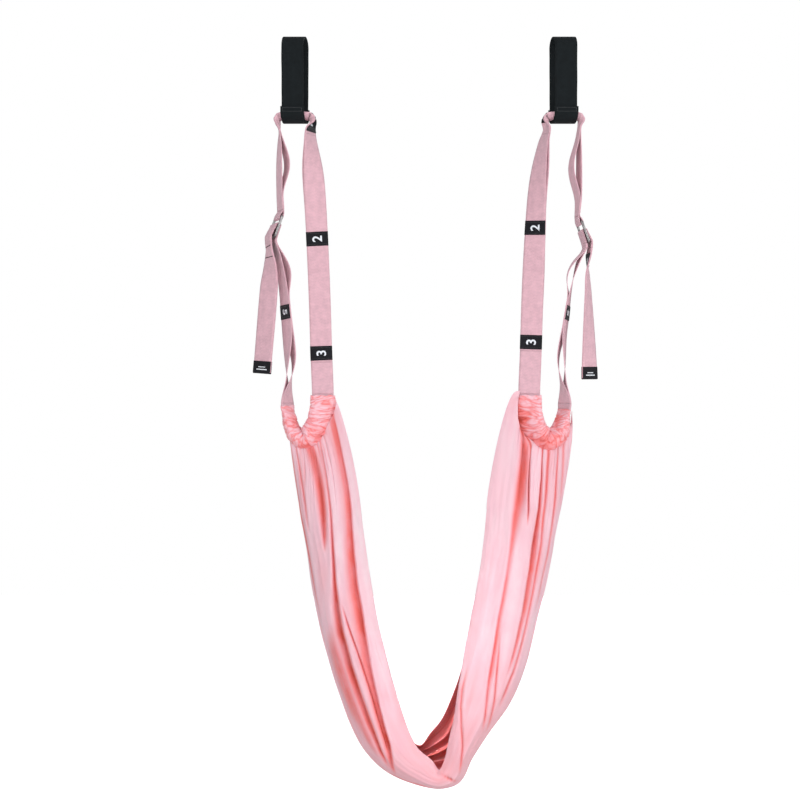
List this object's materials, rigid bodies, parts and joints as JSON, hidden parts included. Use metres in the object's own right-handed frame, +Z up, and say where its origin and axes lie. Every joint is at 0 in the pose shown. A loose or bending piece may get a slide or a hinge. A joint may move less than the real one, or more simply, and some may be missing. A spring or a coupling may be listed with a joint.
{
  "type": "aerial yoga strap",
  "caption": "Hanging yoga strap: a gathered knit hammock on two length-adjustable webs with slide buckles, number labels and black anchor loops for a bar",
  "frame": {"origin": "on the axis of the bar that the anchor loops hang over, midway between the loops", "axes": "+X along the bar from the left strap to the right one as seen from the front, -Y towards the front, +Z up"},
  "size_m": [0.6054, 0.1402, 1.3012],
  "materials": {
    "black_web": "matt woven polyester",
    "web": "satin ribbed webbing",
    "label": "woven label with white numbers",
    "buckle": "satin nickel",
    "cloth": "soft stretch knit"
  },
  "bodies": {
    "root": {"left_anchor_loop": "black_web", "left_anchor_lap": "black_web", "right_anchor_loop": "black_web", "right_anchor_lap": "black_web"},
    "sling": {"left_buckle": "buckle", "left_web_end_turn": "web", "left_web_upper_face": "web", "left_web_upper_back": "web", "left_web_saddle": "web", "left_label_1": "label", "left_web_inner_face": "web", "left_web_inner_back": "web", "left_label_2": "label", "left_label_3": "label", "left_web_into_casing": "web", "left_web_lower_face": "web", "left_web_lower_back": "web", "left_web_buckle_turn": "web", "right_buckle": "buckle", "right_web_end_turn": "web", "right_web_upper_face": "web", "right_web_upper_back": "web", "right_web_saddle": "web", "right_label_1": "label", "right_web_inner_face": "web", "right_web_inner_back": "web", "right_label_2": "label", "right_label_3": "label", "right_web_into_casing": "web", "right_web_lower_face": "web", "right_web_lower_back": "web", "right_web_buckle_turn": "web"},
    "hammock": {"cloth_left_arm": "cloth", "cloth_seat": "cloth", "cloth_right_arm": "cloth", "left_casing": "cloth", "left_web_in_casing": "web", "left_label_4": "label", "right_casing": "cloth", "right_web_in_casing": "web", "right_label_4": "label"},
    "left_sliding_label": {"left_label_5": "label"},
    "left_tail": {"left_web_tail": "web"},
    "left_tail_end": {"left_label_6": "label", "left_tail_label": "label"},
    "right_sliding_label": {"right_label_5": "label"},
    "right_tail": {"right_web_tail": "web"},
    "right_tail_end": {"right_label_6": "label", "right_tail_label": "label"}
  },
  "joints": [
    {"name": "sling_swing", "type": "hinge", "parent": "root", "child": "sling", "pos_m": [0, 0, -0.1125], "axis": [1, 0, 0], "range_deg": [-60, 60]},
    {"name": "height_adjust", "type": "slide", "parent": "sling", "child": "hammock", "axis": [0, 0, 1], "range_m": [-0.001, 0.045], "deforming": ["left_web_into_casing", "left_web_lower_face", "left_web_lower_back", "right_web_into_casing", "right_web_lower_face", "right_web_lower_back"]},
    {"name": "left_label_slide", "type": "slide", "parent": "sling", "child": "left_sliding_label", "axis": [-0.1113, 0, 0.9938], "range_m": [-0.002, 0.09]},
    {"name": "left_tail_swing", "type": "hinge", "parent": "sling", "child": "left_tail", "pos_m": [-0.28075, -0.00322, -0.34], "axis": [-0.342, 0.9397, 0], "range_deg": [-1, 60]},
    {"name": "left_tail_slide", "type": "slide", "parent": "left_tail", "child": "left_tail_end", "axis": [0, 0, -1], "range_m": [-0.002, 0.09], "deforming": ["left_web_tail"]},
    {"name": "right_label_slide", "type": "slide", "parent": "sling", "child": "right_sliding_label", "axis": [0.1826, 0, 0.9832], "range_m": [-0.002, 0.09]},
    {"name": "right_tail_swing", "type": "hinge", "parent": "sling", "child": "right_tail", "pos_m": [0.28129, 0.00066, -0.35], "axis": [0.0698, -0.9976, 0], "range_deg": [-1, 60]},
    {"name": "right_tail_slide", "type": "slide", "parent": "right_tail", "child": "right_tail_end", "axis": [0, 0, -1], "range_m": [-0.002, 0.09], "deforming": ["right_web_tail"]}
  ],
  "couplings": [
    {"joint": "left_label_slide", "follows": "height_adjust", "ratio": 2},
    {"joint": "left_tail_slide", "follows": "height_adjust", "ratio": 2},
    {"joint": "right_label_slide", "follows": "height_adjust", "ratio": 2},
    {"joint": "right_tail_slide", "follows": "height_adjust", "ratio": 2}
  ]
}
